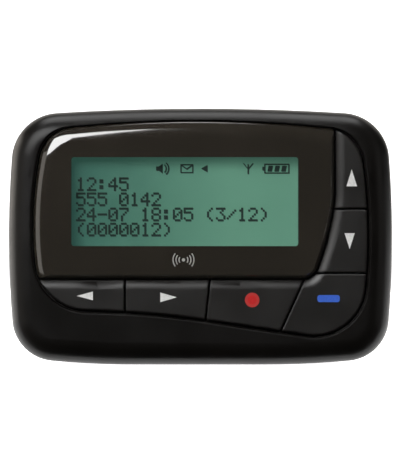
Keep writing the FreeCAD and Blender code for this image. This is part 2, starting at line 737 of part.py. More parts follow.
def board_connector():
    """The stacking connector between the two boards."""
    housing = box((-27.0, -11.0), (BOARD_Y[1], RECEIVER_Y[0]), (26.0, 29.2))
    for k in range(12):
        x = -26.0 + k * 1.27
        housing = housing.cut(box((x - 0.3, x + 0.3), (-1.0, 1.0), (25.8, 26.4)))
    return housing


def receiver_board():
    """The radio board, carried behind the main one."""
    board = rounded_box((-28.5, 16.0), RECEIVER_Y, (19.5, 50.0), 1.0)
    for x, z in SPACERS:
        board = board.cut(rod_y(x, z, SMALL_CLEARANCE_R, (0, 5)))
    return board


def receiver_shield():
    """Pressed tin can over the radio circuit."""
    x, z, y = (-19.0, 6.0), (25.0, 44.0), (RECEIVER_Y[1], 5.0)
    can = rounded_box(x, y, z, 0.8)
    can = can.makeFillet(0.4, edges_at(can, y[1]))
    can = can.cut(box((x[0] + 0.25, x[1] - 0.25), (y[0] - 1, y[1] - 0.25), (z[0] + 0.25, z[1] - 0.25)))
    for k in range(5):
        can = can.cut(rod_y(x[0] + 4.5 + 4.0 * k, z[1] - 3.0, 0.6, (4, 7)))
    return can


def receiver_chips():
    """A crystal, a filter and a tuning coil beside the shield."""
    y = RECEIVER_Y[1]
    crystal = rounded_box((8.6, 13.6), (y, y + 1.6), (34.0, 37.0), 0.8)
    filt = chip(11.0, 28.0, 3.6, 3.6, (y, y + 1.1), 3)
    coil = rod_x((8.4, 13.8), y + 1.3, 41.6, 1.2)
    return group([crystal, filt, coil])


def board_spacers():
    """Three pillars between the boards."""
    made = []
    for x, z in SPACERS:
        pillar = rod_y(x, z, 1.7, (BOARD_Y[1], RECEIVER_Y[0]))
        made.append(pillar.cut(rod_y(x, z, SMALL_PILOT_R, (BOARD_Y[1] + 1.2, 5))))
    return group(made)


def receiver_screws():
    """Three screws from behind the radio board into its pillars."""
    return group(small_screw(x, z, RECEIVER_Y[1]) for x, z in SPACERS)


def loop_antenna():
    """Flat metal loop along the top, standing on the main board by its two feet."""
    y = (-2.2, 3.2)
    x, top, foot, thick = 31.0, 52.0, 45.5, 0.5
    strip = joined(
        box((-x, x), y, (top - thick, top)),
        box((-x, -x + thick), y, (foot, top)),
        box((x - thick, x), y, (foot, top)),
    )
    top_edges = [e for e in strip.Edges if e.BoundBox.YLength > 5 and abs(e.BoundBox.ZMin - top) < 1e-3]
    outer_bends = [e for e in top_edges if abs(e.BoundBox.XMin) > x - 1e-3]
    strip = strip.makeFillet(0.45, outer_bends)
    feet = [
        box((-x, -x + thick), (BOARD_Y[1], y[0] + 0.1), (foot, foot + 2.0)),
        box((x - thick, x), (BOARD_Y[1], y[0] + 0.1), (foot, foot + 2.0)),
    ]
    return joined(strip, *feet)


def sounder():
    """The round alert sounder, facing the holes in the back."""
    x, z = SOUNDER_XZ
    body = rod_y(x, z, SOUNDER_R, (4.0, 7.9))
    body = body.makeFillet(0.5, edges_at(body, 7.9))
    return body.cut(rod_y(x, z, 1.6, (7.0, 9)))


def sounder_gasket():
    x, z = SOUNDER_XZ
    return rod_y(x, z, 5.6, (7.9, CAVITY_BACK_Y)).cut(rod_y(x, z, 4.0, (7, 9)))


def sounder_leads():
    x, z = SOUNDER_XZ
    return group(rod_y(x + dx, z, 0.3, (BOARD_Y[1], 4.0)) for dx in (-3.2, 3.2))


# ---- Vibrator -------------------------------------------------------------------------------------------
def vibrator_motor():
    """Motor can with its end cap."""
    can = rod_x((MOTOR_X[0] + 0.6, MOTOR_X[1]), MOTOR_Y, MOTOR_Z, MOTOR_R)
    nose = rod_x((MOTOR_X[0], MOTOR_X[0] + 0.6), MOTOR_Y, MOTOR_Z, 1.3)
    bore = rod_x((MOTOR_X[0] - 1, MOTOR_X[0] + 5), MOTOR_Y, MOTOR_Z, 0.5 + RUNNING)
    return joined(can, nose).cut(bore)


def vibrator_weight():
    """The off-centre weight and the shaft that it is pressed on."""
    x = (-36.0, -31.8)
    half_disc = rod_x(x, MOTOR_Y, MOTOR_Z, 3.0).cut(box((-50, 0), (-20, 20), (MOTOR_Z + 0.6, 40)))
    shaft = rod_x((x[0], MOTOR_X[0] + 4.0), MOTOR_Y, MOTOR_Z, 0.5)
    return joined(half_disc, shaft)


def vibrator_boot():
    """Rubber boot that holds the motor against the back wall."""
    block = box((-29.0, -21.6), (0.7, CAVITY_BACK_Y - 0.05), (6.3, 14.1))
    return block.cut(rod_x((-40, -10), MOTOR_Y, MOTOR_Z, MOTOR_R))


def vibrator_leads():
    """Two stiff leads from the motor's cap to the main board."""
    made = []
    for z in (MOTOR_Z - 1.2, MOTOR_Z + 1.2):
        run = box((MOTOR_X[1], MOTOR_X[1] + 0.8), (MOTOR_Y - 0.2, MOTOR_Y + 0.2), (z - 0.2, z + 0.2))
        drop = box(
            (MOTOR_X[1] + 0.4, MOTOR_X[1] + 0.8), (BOARD_Y[1], MOTOR_Y + 0.2), (z - 0.2, z + 0.2)
        )
        made.append(joined(run, drop))
    return group(made)


# ---- Battery, its contacts, door and lock ---------------------------------------------------------------
def battery_cell():
    """The AAA cell's can with its positive nub."""
    body_end = CELL_X + CELL_LENGTH - CELL_NUB
    can = rod_x((CELL_X, body_end), CELL_Y, CELL_Z, CELL_R - CELL_JACKET)
    can = can.makeFillet(0.5, [e for e in can.Edges if e.Length > 20])
    nub = rod_x((body_end - 0.1, CELL_X + CELL_LENGTH), CELL_Y, CELL_Z, 1.8)
    nub = nub.makeFillet(0.3, [e for e in nub.Edges if abs(e.BoundBox.XMin - CELL_X - CELL_LENGTH) < 1e-3])
    return joined(can, nub)


def battery_jacket():
    """Thin printed sleeve round the can."""
    x = (CELL_X + 0.6, CELL_X + CELL_LENGTH - CELL_NUB - 0.6)
    can = rod_x((x[0] - 1, x[1] + 1), CELL_Y, CELL_Z, CELL_R - CELL_JACKET)
    return rod_x(x, CELL_Y, CELL_Z, CELL_R).cut(can)


CONTACT_THICK = 0.4


def battery_contact_negative():
    return contact_plate(BAY_X[0], BAY_X[0] + CONTACT_THICK)


def battery_contact_positive():
    plate = contact_plate(BAY_X[1] - CONTACT_THICK, BAY_X[1])
    bump = rod_x((CELL_X + CELL_LENGTH, BAY_X[1] - CONTACT_THICK + 0.05), CELL_Y, CELL_Z, 1.5)
    return joined(plate, bump)


def contact_plate(x0, x1):
    """A spring-steel contact plate across one end of the bay, with a foot that reaches the board's side."""
    plate = box((x0, x1), (BAY_FLOOR_Y, 7.6), (CELL_Z - 4.4, CELL_Z + 4.4))
    tops = [e for e in plate.Edges if e.BoundBox.XLength > 0.3 and e.BoundBox.YMin > 7]
    return plate.makeFillet(1.0, tops)


def battery_spring():
    """Wire coil on the negative contact, pressed by the cell."""
    wire_r, coil_r, turns = 0.32, 2.6, 3
    x0, x1 = BAY_X[0] + CONTACT_THICK + wire_r, CELL_X - wire_r
    helix = Part.makeHelix((x1 - x0) / turns, x1 - x0, coil_r)
    start = helix.Edges[0].valueAt(helix.Edges[0].FirstParameter)
    section = Part.Wire(Part.makeCircle(wire_r, start, V(0, 1, 0)))
    coil = Part.Wire(helix.Edges).makePipeShell([section], True, True)
    coil.rotate(V(0, 0, 0), V(0, 1, 0), 90)
    coil.translate(V(x0, CELL_Y, CELL_Z))
    return coil


def battery_door():
    """The sliding door: a slice of the casing's surface with a tongue along each long edge."""
    skin = OUTER.common(box((DOOR_X0, 60), (DOOR_SIDE_Y, 20), DOOR_Z))
    skin = skin.cut(casing_body(DOOR_THICK, (FACE_Y + DOOR_THICK, BACK_Y - DOOR_THICK)))
    inside = casing_body(0.3, (FACE_Y + 0.3, BACK_Y - 0.3))
    root = 1.2
    tongues = [
        box((DOOR_X0, 60), (TONGUE_Y[0], BACK_Y - DOOR_THICK + 0.05), (DOOR_Z[0], DOOR_Z[0] + root)),
        box((DOOR_X0, 60), (TONGUE_Y[0], BACK_Y - DOOR_THICK + 0.05), (DOOR_Z[1] - root, DOOR_Z[1])),
        box((DOOR_X0, 60), TONGUE_Y, (DOOR_Z[0] - TONGUE_REACH, DOOR_Z[0] + root)),
        box((DOOR_X0, 60), TONGUE_Y, (DOOR_Z[1] - root, DOOR_Z[1] + TONGUE_REACH)),
    ]
    door = joined(skin, *[t.common(inside) for t in tongues])
    notch = box((LOCK_X - 1.8, LOCK_X + 1.8), (TONGUE_Y[0] - 1, BACK_Y - DOOR_THICK), (14.7, 17.0))
    door = door.cut(notch)
    ribs = [
        rounded_box((x - 0.4, x + 0.4), (BACK_Y - 0.2, BACK_Y + 0.35), (6.2, 13.0), 0.39)
        for x in (25.0, 26.8, 28.6, 30.4, 32.2)
    ]
    return joined(door, *ribs)


def battery_door_pad():
    """Foam strip inside the door that stops the cell from rattling."""
    y = (CELL_Y + CELL_R + 0.03, BACK_Y - DOOR_THICK)
    return box((0.0, 24.0), y, (CELL_Z - 2.0, CELL_Z + 2.0))


LOCK_PEG_R = 0.6
LOCK_PEG_Z = 22.3


def door_lock():
    """Thumb slider: a ribbed button outside, a stem through the slot and a peg that carries the bolt."""
    stem_x = (LOCK_X - LOCK_STEM_HALF, LOCK_X + LOCK_STEM_HALF)
    stem = box(stem_x, (LOCK_BOLT_Y[1], 9.4), (20.4, 24.2))
    peg = rod_y(LOCK_X, LOCK_PEG_Z, LOCK_PEG_R, (LOCK_BOLT_Y[0], 9.4))
    thumb = rounded_box((LOCK_X - 4.6, LOCK_X + 4.6), (9.25, 9.95), LOCK_THUMB_Z, 1.0)
    ribs = [
        box((LOCK_X - 3.4, LOCK_X + 3.4), (9.9, 10.3), (z - 0.3, z + 0.3)) for z in (21.2, 22.3, 23.4)
    ]
    return joined(stem, peg, thumb, *ribs)


def lock_bolt():
    """Steel bolt behind the wall, fixed on the slider's peg, that drops into the door's upper tongue."""
    stem_x = (LOCK_X - LOCK_STEM_HALF, LOCK_X + LOCK_STEM_HALF)
    bolt = rounded_box(stem_x, LOCK_BOLT_Y, (LOCK_BOLT_TIP_Z, 24.2), 0.3)
    return bolt.cut(rod_y(LOCK_X, LOCK_PEG_Z, LOCK_PEG_R, (8, 9)))


def lock_retainer():
    """Plate staked inside the back wall behind the bolt."""
    return rounded_box((LOCK_X - 4.5, LOCK_X + 4.5), (7.75, 8.38), (17.6, 26.4), 0.8)


# ---- Belt clip ------------------------------------------------------------------------------------------
def clip_base():
    """Plate screwed to the back, with two ears for the hinge pin."""
    plate = rounded_box((-8.2, 8.2), (BACK_Y, 11.2), (38.8, 50.4), 1.5)
    plate = plate.makeFillet(0.4, edges_at(plate, 11.2))
    ears = []
    for x in ((-8.0, -6.0), (6.0, 8.0)):
        web = box(x, (10.4, CLIP_PIN_Y), (CLIP_PIN_Z - CLIP_EAR_R, CLIP_PIN_Z + CLIP_EAR_R))
        ears.append(joined(web, rod_x(x, CLIP_PIN_Y, CLIP_PIN_Z, CLIP_EAR_R)))
    base = joined(plate, *ears).cut(rod_x((-10, 10), CLIP_PIN_Y, CLIP_PIN_Z, CLIP_PIN_R))
    for x, z in CLIP_SCREWS:
        base = base.cut(rod_y(x, z, 0.85, (9, 12)))
        base = base.cut(Part.makeCone(0.85, 1.55, 0.7, V(x, 10.5, z), V(0, 1, 0)))
    return base


def clip_screws():
    """Two countersunk screws for the clip's base."""
    made = []
    for x, z in CLIP_SCREWS:
        head = Part.makeCone(0.8, 1.5, 0.68, V(x, 10.5, z), V(0, 1, 0))
        head = head.cut(box((x - 1.0, x + 1.0), (10.85, 12), (z - 0.18, z + 0.18)))
        made.append(joined(head, rod_y(x, z, 0.63, (5.9, 10.6))))
    return group(made)


def clip_lever():
    """The sprung lever: a bent plate with a thumb end above the pin and a hooked tip below."""
    profile = [
        (13.1, 53.6),
        (14.8, 53.6),
        (16.7, 45.5),
        (16.7, 12.6),
        (12.2, 5.6),
        (10.5, 6.4),
        (15.0, 13.6),
        (15.0, 45.2),
    ]
    corners = [V(-CLIP_HALF_WIDTH, y, z) for y, z in profile]
    plate = Part.Face(Part.makePolygon(corners + corners[:1])).extrude(V(2 * CLIP_HALF_WIDTH, 0, 0))

    def bends(points):
        return [
            e
            for e in plate.Edges
            if e.BoundBox.XLength > CLIP_HALF_WIDTH
            and any(math.hypot(e.BoundBox.YMin - y, e.BoundBox.ZMin - z) < 1e-3 for y, z in points)
        ]

    plate = plate.makeFillet(6.0, bends([profile[3]]))
    plate = plate.makeFillet(4.3, bends([profile[6]]))
    plate = plate.makeFillet(8.0, bends([profile[2], profile[7]]))
    plate = plate.makeFillet(0.7, bends([profile[0], profile[1], profile[4], profile[5]]))
    # The tip and the thumb end narrow a little and have round corners.
    shape = rounded_box((-CLIP_HALF_WIDTH, CLIP_HALF_WIDTH), (9, 20), (4.0, 55.0), 3.6)
    plate = plate.common(shape)
    barrel = rod_x((-5.8, 2.6), CLIP_PIN_Y, CLIP_PIN_Z, CLIP_BARREL_R)
    neck = box((-5.8, 2.6), (CLIP_PIN_Y, 15.4), (CLIP_PIN_Z - 1.3, CLIP_PIN_Z + 1.3))
    lever = joined(plate, barrel, neck)
    lever = lever.cut(rod_x((-9.5, 9.5), CLIP_PIN_Y, CLIP_PIN_Z, CLIP_PIN_R + RUNNING))
    for k in range(3):
        z = 48.2 + 1.4 * k
        grip_y = 16.7 - (z - 45.5) * (16.7 - 14.8) / (53.6 - 45.5)
        lever = lever.cut(rod_x((-6.0, 6.0), grip_y + 0.25, z, 0.45))
    return lever


def clip_pin():
    return rod_x((-8.0, 8.0), CLIP_PIN_Y, CLIP_PIN_Z, CLIP_PIN_R)


def clip_spring():
    """Torsion spring round the pin, one leg on the base and one on the lever."""
    wire_r, coil_r, turns = 0.22, 1.25, 4
    x0, x1 = 3.1, 5.5
    helix = Part.makeHelix((x1 - x0) / turns, x1 - x0, coil_r)
    start = helix.Edges[0].valueAt(helix.Edges[0].FirstParameter)
    section = Part.Wire(Part.makeCircle(wire_r, start, V(0, 1, 0)))
    coil = Part.Wire(helix.Edges).makePipeShell([section], True, True)
    coil.rotate(V(0, 0, 0), V(0, 1, 0), 90)
    coil.translate(V(x0, CLIP_PIN_Y, CLIP_PIN_Z))
    return coil


# ---- All nodes ------------------------------------------------------------------------------------------
SINGLE_NODES = [
    front_casing,
    rear_casing,
    case_screws,
    rear_label,
    lens_bezel,
    display_window,
    lens_adhesive,
    lcd_gasket,
    backlight_leds,
    lcd_holder,
    zebra_strip,
    keypad_mat,
    snap_domes,
    main_board,
    main_board_chips,
    main_board_screws,
    backup_cell,
    backup_cell_clip,
    board_connector,
    receiver_board,
    receiver_shield,
    receiver_chips,
    board_spacers,
    receiver_screws,
    loop_antenna,
    sounder,
    sounder_gasket,
    sounder_leads,
    vibrator_motor,
    vibrator_weight,
    vibrator_boot,
    vibrator_leads,
    battery_cell,
    battery_jacket,
    battery_contact_negative,
    battery_contact_positive,
    battery_spring,
    battery_door,
    battery_door_pad,
    door_lock,
    lock_bolt,
    lock_retainer,
    clip_base,
    clip_screws,
    clip_lever,
    clip_pin,
    clip_spring,
]


def all_nodes():
    """Every piece by the name of its node."""
    nodes = {make.__name__: make() for make in SINGLE_NODES}
    nodes.update(lcd_parts())
    nodes.update({name: key(name) for name in KEYS})
    return nodes


def main():
    os.makedirs(OUT, exist_ok=True)
    for name, shape in all_nodes().items():
        if not shape.isValid() or shape.Volume <= 0 or not shape.Solids:
            print("problem:", name, shape.isValid(), round(shape.Volume, 3), len(shape.Solids))
        shape.exportStep(os.path.join(OUT, name + ".step"))


main()
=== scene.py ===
"""The looks of the belt pager: materials for every CAD node, printed legends, the display and a studio.

Metres, in the CAD's own frame: +Z up, the display faces -Y, and the pager stands on Z 0.
"""

import json
import math

import bmesh
import bpy
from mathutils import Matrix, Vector


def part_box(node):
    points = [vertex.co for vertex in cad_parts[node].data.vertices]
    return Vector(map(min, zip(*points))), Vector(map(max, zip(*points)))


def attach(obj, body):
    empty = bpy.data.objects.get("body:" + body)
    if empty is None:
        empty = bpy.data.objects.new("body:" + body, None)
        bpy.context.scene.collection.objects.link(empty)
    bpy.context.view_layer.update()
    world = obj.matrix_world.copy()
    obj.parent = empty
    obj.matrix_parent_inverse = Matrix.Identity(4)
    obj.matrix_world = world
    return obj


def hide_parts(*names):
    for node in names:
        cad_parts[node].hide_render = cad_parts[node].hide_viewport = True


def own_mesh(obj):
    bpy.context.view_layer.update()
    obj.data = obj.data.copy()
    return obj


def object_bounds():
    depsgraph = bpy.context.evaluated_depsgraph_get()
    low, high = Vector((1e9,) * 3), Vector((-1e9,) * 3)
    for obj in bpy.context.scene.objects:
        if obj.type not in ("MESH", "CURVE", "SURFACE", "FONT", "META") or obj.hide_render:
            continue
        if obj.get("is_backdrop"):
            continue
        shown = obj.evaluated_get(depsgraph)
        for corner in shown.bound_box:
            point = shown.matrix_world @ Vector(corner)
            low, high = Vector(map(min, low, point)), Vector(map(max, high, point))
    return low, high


MM = 0.001
BODY = "pager"

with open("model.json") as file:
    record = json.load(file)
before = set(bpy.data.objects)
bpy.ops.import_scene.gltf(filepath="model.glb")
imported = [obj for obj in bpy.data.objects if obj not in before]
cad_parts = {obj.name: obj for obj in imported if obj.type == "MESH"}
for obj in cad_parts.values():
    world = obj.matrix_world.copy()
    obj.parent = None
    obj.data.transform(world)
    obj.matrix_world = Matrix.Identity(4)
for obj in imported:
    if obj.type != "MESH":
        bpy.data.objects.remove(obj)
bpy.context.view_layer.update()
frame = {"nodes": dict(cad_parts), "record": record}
nodes = frame["nodes"]


# ---- Materials ------------------------------------------------------------------------------------------
class Shader:
    """A small helper that builds one node material."""

    def __init__(self, name):
        self.material = bpy.data.materials.new(name)
        self.material.use_nodes = True
        self.tree = self.material.node_tree
        self.bsdf = self.tree.nodes["Principled BSDF"]
        self.place = self.tree.nodes.new("ShaderNodeTexCoord").outputs["Object"]

    def node(self, kind, **values):
        made = self.tree.nodes.new(kind)
        for key, value in values.items():
            setattr(made, key, value)
        return made

    def link(self, a, b):
        self.tree.links.new(a, b)

    def noise(self, size, detail=2.0, roughness=0.5):
        """Noise whose features are about size millimetres across."""
        made = self.node("ShaderNodeTexNoise")
        made.inputs["Scale"].default_value = 1.0 / (size * MM)
        made.inputs["Detail"].default_value = detail
        made.inputs["Roughness"].default_value = roughness
        self.link(self.place, made.inputs["Vector"])
        return made.outputs["Fac"]

    def spread(self, source, low, high, start=0.3, end=0.7):
        """Turns a source between start and end into numbers between low and high."""
        made = self.node("ShaderNodeMapRange")
        made.inputs["From Min"].default_value = start
        made.inputs["From Max"].default_value = end
        made.inputs["To Min"].default_value = low
        made.inputs["To Max"].default_value = high
        self.link(source, made.inputs["Value"])
        return made.outputs["Result"]

    def shades(self, source, dark, light, start=0.3, end=0.7):
        """A colour between two shades, by a source."""
        made = self.node("ShaderNodeValToRGB")
        made.color_ramp.elements[0].position = start
        made.color_ramp.elements[0].color = (*dark, 1)
        made.color_ramp.elements[1].position = end
        made.color_ramp.elements[1].color = (*light, 1)
        self.link(source, made.inputs["Fac"])
        return made.outputs["Color"]

    def mix(self, share, a, b):
        """Colour a where share is 0 and b where it is 1."""
        made = self.node("ShaderNodeMix", data_type="RGBA")
        self.link(share, made.inputs["Factor"])
        first, second, result = made.inputs[6], made.inputs[7], made.outputs[2]  # the colour sockets
        for value, socket in ((a, first), (b, second)):
            if isinstance(value, tuple):
                socket.default_value = (*value, 1)
            else:
                self.link(value, socket)
        return result

    def bump(self, height, depth, strength=1.0, under=None):
        """Relief about depth millimetres deep."""
        made = self.node("ShaderNodeBump")
        made.inputs["Strength"].default_value = strength
        made.inputs["Distance"].default_value = depth * MM
        self.link(height, made.inputs["Height"])
        if under is not None:
            self.link(under, made.inputs["Normal"])
        return made.outputs["Normal"]

    def rounded(self, radius):
        """Normals that turn sharp edges into rounds of the given radius in millimetres."""
        made = self.node("ShaderNodeBevel", samples=6)
        made.inputs["Radius"].default_value = radius * MM
        return made.outputs["Normal"]

    def edges(self):
        """Near 1 on sharp outer edges, near 0 elsewhere."""
        return self.spread(self.node("ShaderNodeNewGeometry").outputs["Pointiness"], 0.0, 1.0, 0.53, 0.62)

    def set(self, **values):
        for key, value in values.items():
            self.bsdf.inputs[key.replace("_", " ")].default_value = value


def tint(colour, factor):
    """A colour made darker or lighter."""
    return tuple(min(1.0, c * factor) for c in colour)


def moulded(name, colour, roughness=0.5, grain=0.22, depth=0.012, wear=0.35, specular=0.5, edge=0.12):
    """Moulded plastic with a fine spark-eroded texture, faint blotches and polished, paler edges.

    Grain, depth and edge are in millimetres: the texture's size and relief, and how round sharp edges look.
    """
    s = Shader(name)
    cloud = s.noise(9.0, 3.0)
    fine = s.noise(grain, 3.0, 0.65)
    base = s.shades(cloud, tint(colour, 0.86), tint(colour, 1.14))
    worn = s.mix(s.spread(s.edges(), 0.0, wear, 0.0, 1.0), base, tint(colour, 2.2))
    s.link(worn, s.bsdf.inputs["Base Color"])
    s.link(s.spread(cloud, roughness - 0.05, roughness + 0.05), s.bsdf.inputs["Roughness"])
    s.link(s.bump(fine, depth, under=s.rounded(edge)), s.bsdf.inputs["Normal"])
    s.set(Specular_IOR_Level=specular)
    return s.material


def polished_black(name, colour):
    """Hard-coated glossy panel: very smooth, with the faint ripple and wiping marks of a moulded lens."""
    s = Shader(name)
    smear = s.noise(14.0, 4.0, 0.6)
    ripple = s.noise(22.0, 1.0)
    s.link(s.shades(smear, tint(colour, 0.85), tint(colour, 1.15)), s.bsdf.inputs["Base Color"])
    s.link(s.spread(smear, 0.05, 0.13), s.bsdf.inputs["Roughness"])
    s.link(s.bump(ripple, 0.05, strength=0.25), s.bsdf.inputs["Normal"])
    s.set(Specular_IOR_Level=0.9, Coat_Weight=1.0, Coat_IOR=1.6, Coat_Roughness=0.03)
    return s.material


FACE_ON_GLOSS = 0.03
EDGE_ON_GLOSS = 0.9
GLOSS_RISE = 5.0  # the power by which gloss grows as the window is seen at a slant


def clear_window(name):
    """Clear hard-coated plastic: it lets the display through and keeps a faint surface gloss."""
    s = Shader(name)
    gloss = s.node("ShaderNodeBsdfGlossy")
    s.link(s.spread(s.noise(14.0, 4.0), 0.06, 0.14), gloss.inputs["Roughness"])
    clear = s.node("ShaderNodeBsdfTransparent")
    clear.inputs["Color"].default_value = (0.9, 0.93, 0.91, 1)
    slant = s.node("ShaderNodeLayerWeight").outputs["Facing"]
    steep = s.node("ShaderNodeMath", operation="POWER")
    steep.inputs[1].default_value = GLOSS_RISE
    s.link(slant, steep.inputs[0])
    both = s.node("ShaderNodeMixShader")
    s.link(s.spread(steep.outputs["Value"], FACE_ON_GLOSS, EDGE_ON_GLOSS, 0.0, 1.0), both.inputs["Fac"])
    s.link(clear.outputs["BSDF"], both.inputs[1])
    s.link(gloss.outputs["BSDF"], both.inputs[2])
    s.link(both.outputs["Shader"], s.tree.nodes["Material Output"].inputs["Surface"])
    return s.material


def display_film(name):
    """Reflective display: teal-green, paler towards the right, with painted shade darker towards the left and
    along its top, and a faint painted glow in place of the light that falls on it.
    """
    s = Shader(name)
    split = s.node("ShaderNodeSeparateXYZ")
    s.link(s.place, split.inputs["Vector"])
    low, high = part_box("display_window")
    across = s.spread(split.outputs["X"], 0.0, 1.0, low[0], high[0])
    up = s.spread(split.outputs["Z"], 0.0, 1.0, low[2], high[2])
    # Painted shade: the film is darker towards the left and paler towards the right.
    base = s.shades(across, (0.034, 0.112, 0.094), (0.125, 0.275, 0.208), 0.0, 0.7)
    # Painted shade: darker along the top, where the display sits in its recess.
    painted_shade = s.mix(s.spread(up, 0.0, 0.5, 0.86, 1.0), base, (0.03, 0.10, 0.075))
    cloudy_with_painted_shade = s.mix(s.spread(s.noise(6.0, 2.0), 0.0, 0.10), painted_shade, (0.16, 0.34, 0.26))
    s.link(cloudy_with_painted_shade, s.bsdf.inputs["Base Color"])
    # Painted glow: the film gives off light in its own painted colour, at the strength set below, in place of
    # the light that falls on it.
    s.link(cloudy_with_painted_shade, s.bsdf.inputs["Emission Color"])
    s.link(s.spread(s.noise(0.3, 2.0), 0.42, 0.55), s.bsdf.inputs["Roughness"])
    s.set(Specular_IOR_Level=0.25, Emission_Strength=0.57)
    return s.material


def rubbery(name, colour, roughness=0.75):
    """Soft rubber: dull, slightly dusty, with a fine skin."""
    s = Shader(name)
    dust = s.noise(2.5, 4.0, 0.6)
    s.link(s.shades(dust, tint(colour, 0.85), tint(colour, 1.25)), s.bsdf.inputs["Base Color"])
    s.link(s.bump(s.noise(0.35, 3.0), 0.015), s.bsdf.inputs["Normal"])
    s.link(s.spread(dust, roughness - 0.08, roughness + 0.08), s.bsdf.inputs["Roughness"])
    s.set(Sheen_Weight=0.15)
    return s.material


def foam(name, colour):
    """Open-celled foam."""
    s = Shader(name)
    cells = s.node("ShaderNodeTexVoronoi")
    cells.inputs["Scale"].default_value = 1 / (0.35 * MM)
    s.link(s.place, cells.inputs["Vector"])
    distance = cells.outputs["Distance"]
    s.link(s.shades(distance, tint(colour, 0.5), tint(colour, 1.4)), s.bsdf.inputs["Base Color"])
    s.link(s.bump(distance, 0.08), s.bsdf.inputs["Normal"])
    s.set(Roughness=0.9)
    return s.material


EVEN = (1.0, 1.0, 1.0)
ACROSS_X = (12.0, 1.0, 1.0)
ACROSS_Z = (1.0, 1.0, 12.0)


def metal(name, colour, roughness, stretch=ACROSS_Z, grain=0.5):
    """Plated or brushed metal: an even grain, or fine lines that run across one axis, and faint staining."""
    s = Shader(name)
    mapping = s.node("ShaderNodeMapping")
    mapping.inputs["Scale"].default_value = stretch
    s.link(s.place, mapping.inputs["Vector"])
    lines = s.node("ShaderNodeTexNoise")
    lines.inputs["Scale"].default_value = 1 / (grain * MM)
    lines.inputs["Detail"].default_value = 3.0
    s.link(mapping.outputs["Vector"], lines.inputs["Vector"])
    stain = s.noise(4.0, 3.0)
    s.link(s.shades(stain, tint(colour, 0.82), tint(colour, 1.06)), s.bsdf.inputs["Base Color"])
    s.link(s.spread(lines.outputs["Fac"], roughness - 0.08, roughness + 0.1), s.bsdf.inputs["Roughness"])
    s.link(s.bump(lines.outputs["Fac"], 0.006), s.bsdf.inputs["Normal"])
    s.set(Metallic=1.0)
    return s.material


def see_through(name, colour, roughness, alpha):
    """Glass or clear film on the display."""
    s = Shader(name)
    s.link(s.shades(s.noise(5.0, 2.0), tint(colour, 0.94), tint(colour, 1.04)), s.bsdf.inputs["Base Color"])
    s.link(s.spread(s.noise(3.0, 2.0), roughness, roughness + 0.06), s.bsdf.inputs["Roughness"])
    s.set(Alpha=alpha)
    return s.material


def circuit_board(name):
    """Green solder mask, with copper showing through as paler tracks."""
    s = Shader(name)
    tracks = s.node("ShaderNodeTexBrick", offset=0.5)
    tracks.inputs["Scale"].default_value = 1 / (2.6 * MM)
    tracks.inputs["Mortar Size"].default_value = 0.09
    tracks.inputs["Color1"].default_value = (0.012, 0.10, 0.045, 1)
    tracks.inputs["Color2"].default_value = (0.014, 0.12, 0.05, 1)
    tracks.inputs["Mortar"].default_value = (0.05, 0.24, 0.10, 1)
    turn = s.node("ShaderNodeMapping")
    turn.inputs["Rotation"].default_value = (math.pi / 2, 0, 0)
    s.link(s.place, turn.inputs["Vector"])
    s.link(turn.outputs["Vector"], tracks.inputs["Vector"])
    s.link(tracks.outputs["Color"], s.bsdf.inputs["Base Color"])
    s.link(s.spread(s.noise(1.0, 2.0), 0.3, 0.42), s.bsdf.inputs["Roughness"])
    s.link(s.bump(tracks.outputs["Fac"], 0.02), s.bsdf.inputs["Normal"])
    return s.material


def striped_rubber(name):
    """Connector rubber with its fine dark and pale layers."""
    s = Shader(name)
    wave = s.node("ShaderNodeTexWave", bands_direction="X")
    wave.inputs["Scale"].default_value = 1 / (1.6 * MM)
    s.link(s.place, wave.inputs["Vector"])
    s.link(s.shades(wave.outputs["Fac"], (0.01, 0.01, 0.012), (0.5, 0.42, 0.34)), s.bsdf.inputs["Base Color"])
    s.set(Roughness=0.7)
    return s.material


def printed_label(name):
    """Pale film label with a printed border, one plain field and a row of bars."""
    s = Shader(name)
    split = s.node("ShaderNodeSeparateXYZ")
    s.link(s.place, split.inputs["Vector"])
    low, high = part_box("rear_label")

    def band(axis, start, end):
        """1 between two shares of the label's width (X) or height (Z)."""
        i = {"X": 0, "Z": 2}[axis]
        size = high[i] - low[i]
        inside = s.node("ShaderNodeMath", operation="COMPARE")
        s.link(split.outputs[axis], inside.inputs[0])
        inside.inputs[1].default_value = low[i] + size * (start + end) / 2
        inside.inputs[2].default_value = size * (end - start) / 2
        return inside.outputs["Value"]

    def both(a, b):
        made = s.node("ShaderNodeMath", operation="MULTIPLY")
        s.link(a, made.inputs[0])
        s.link(b, made.inputs[1])
        return made.outputs["Value"]

    paper = s.shades(s.noise(3.0, 3.0), (0.50, 0.50, 0.48), (0.60, 0.60, 0.57))
    inner = both(band("X", 0.04, 0.96), band("Z", 0.07, 0.93))
    framed = s.mix(inner, (0.05, 0.05, 0.05), paper)
    field = both(band("X", 0.08, 0.55), band("Z", 0.60, 0.84))
    framed = s.mix(field, framed, (0.30, 0.31, 0.32))
    wave = s.node("ShaderNodeTexWave", bands_direction="X")
    wave.inputs["Scale"].default_value = 1 / (5.2 * MM)
    wave.inputs["Distortion"].default_value = 6.0
    wave.inputs["Detail Scale"].default_value = 0.0
    s.link(s.place, wave.inputs["Vector"])
    bars = s.shades(wave.outputs["Fac"], (0.03, 0.03, 0.03), (0.55, 0.55, 0.53), 0.48, 0.52)
    framed = s.mix(both(band("X", 0.08, 0.92), band("Z", 0.18, 0.46)), framed, bars)
    s.link(framed, s.bsdf.inputs["Base Color"])
    s.link(s.bump(s.noise(0.4, 2.0), 0.008), s.bsdf.inputs["Normal"])
    s.set(Roughness=0.45)
    return s.material


